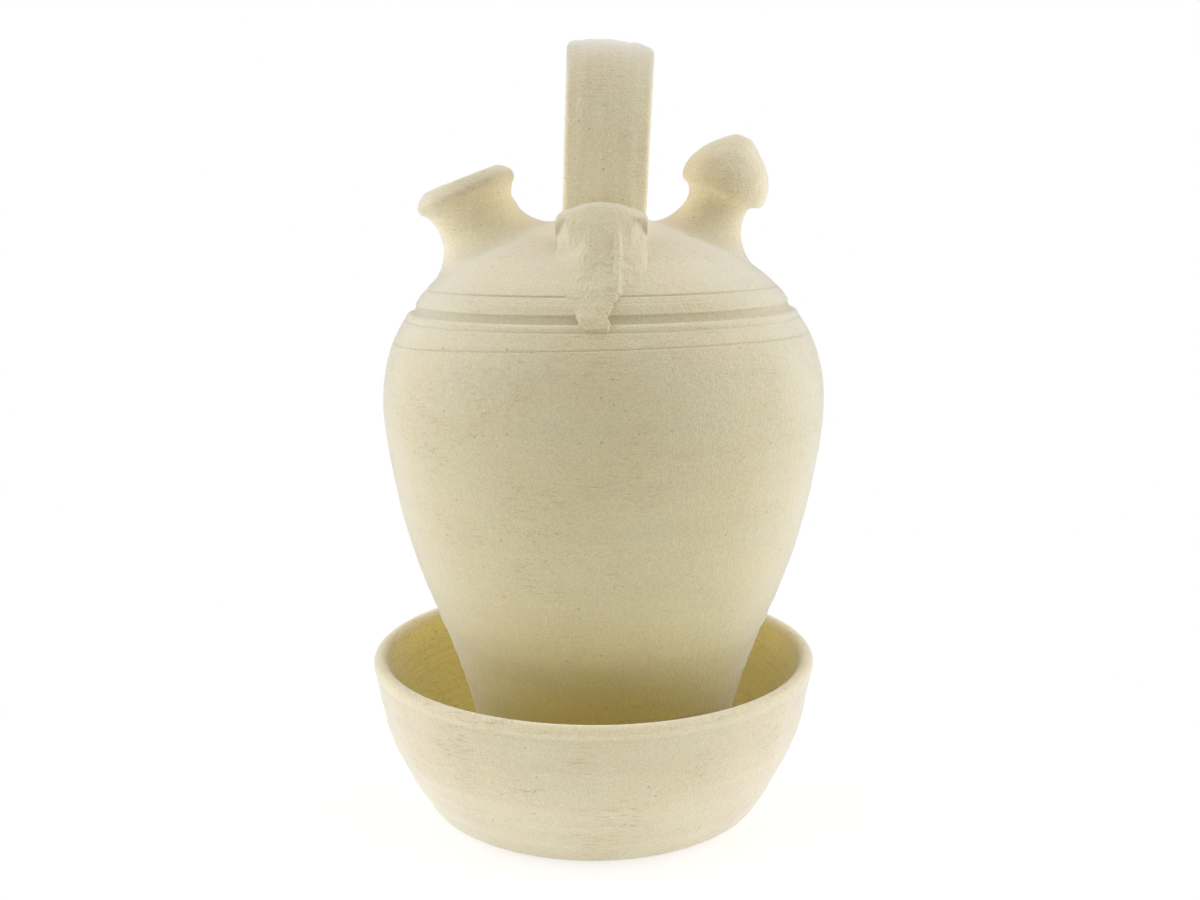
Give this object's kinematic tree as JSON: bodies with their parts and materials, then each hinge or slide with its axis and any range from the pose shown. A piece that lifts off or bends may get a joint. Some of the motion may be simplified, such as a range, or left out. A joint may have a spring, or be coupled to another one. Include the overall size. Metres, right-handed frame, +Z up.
{
  "type": "spanish botijo",
  "caption": "White unglazed clay water jug with a filling mouth, a capped drinking spout and an arched strap handle, standing loose in its drip dish.",
  "frame": {"origin": "centre of the dish's flat underside", "axes": "+Z up, +X towards the drinking spout, -X towards the filling mouth, and the handle arches from -Y, the front, to +Y"},
  "size_m": [0.183, 0.182, 0.3053],
  "materials": {
    "white_clay": "matt unglazed white clay, wheel thrown and wiped, fine speckle and pits",
    "dish_clay": "matt unglazed white clay, wheel thrown, with turning rings inside"
  },
  "bodies": {
    "drip_dish": {"dish": "dish_clay"},
    "jug": {"belly": "white_clay", "shoulder": "white_clay", "filling_mouth": "white_clay", "drinking_spout": "white_clay", "handle_strap": "white_clay", "handle_front_root": "white_clay", "handle_rear_root": "white_clay"}
  },
  "joints": [
    {"name": "jug_lift", "type": "slide", "parent": "drip_dish", "child": "jug", "axis": [0, 0, 1], "range_m": [0, 0.08]}
  ]
}
